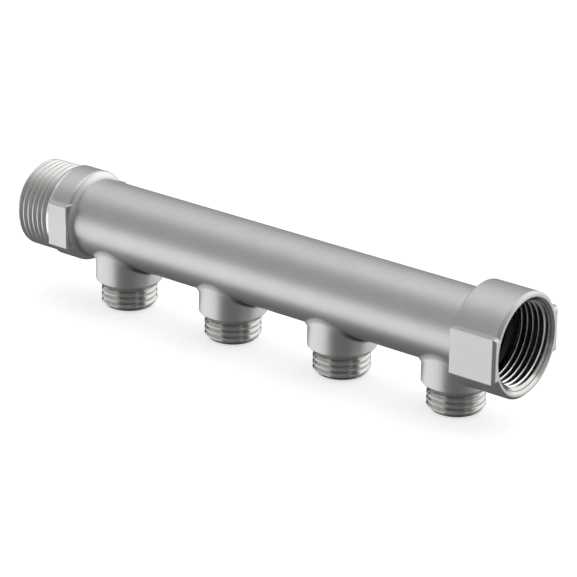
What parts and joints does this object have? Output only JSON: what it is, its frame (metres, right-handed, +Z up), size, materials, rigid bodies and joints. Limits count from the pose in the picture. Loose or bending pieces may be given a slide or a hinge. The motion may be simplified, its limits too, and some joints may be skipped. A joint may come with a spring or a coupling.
{
  "type": "pipe manifold",
  "caption": "Pipe manifold that shares water from one threaded main line among a row of male threaded outlets and passes the rest on through a female threaded end.",
  "frame": {"origin": "on the main axis, at the shoulder face where the male inlet thread stops", "axes": "+X along the main waterway from the male end to the female end, +Z up, away from the outlets"},
  "size_m": [0.2202, 0.0392, 0.0502],
  "materials": {
    "steel_casting": "satin blasted stainless steel, with bright machined threads"
  },
  "bodies": {
    "root": {"manifold_body": "steel_casting"}
  },
  "joints": []
}
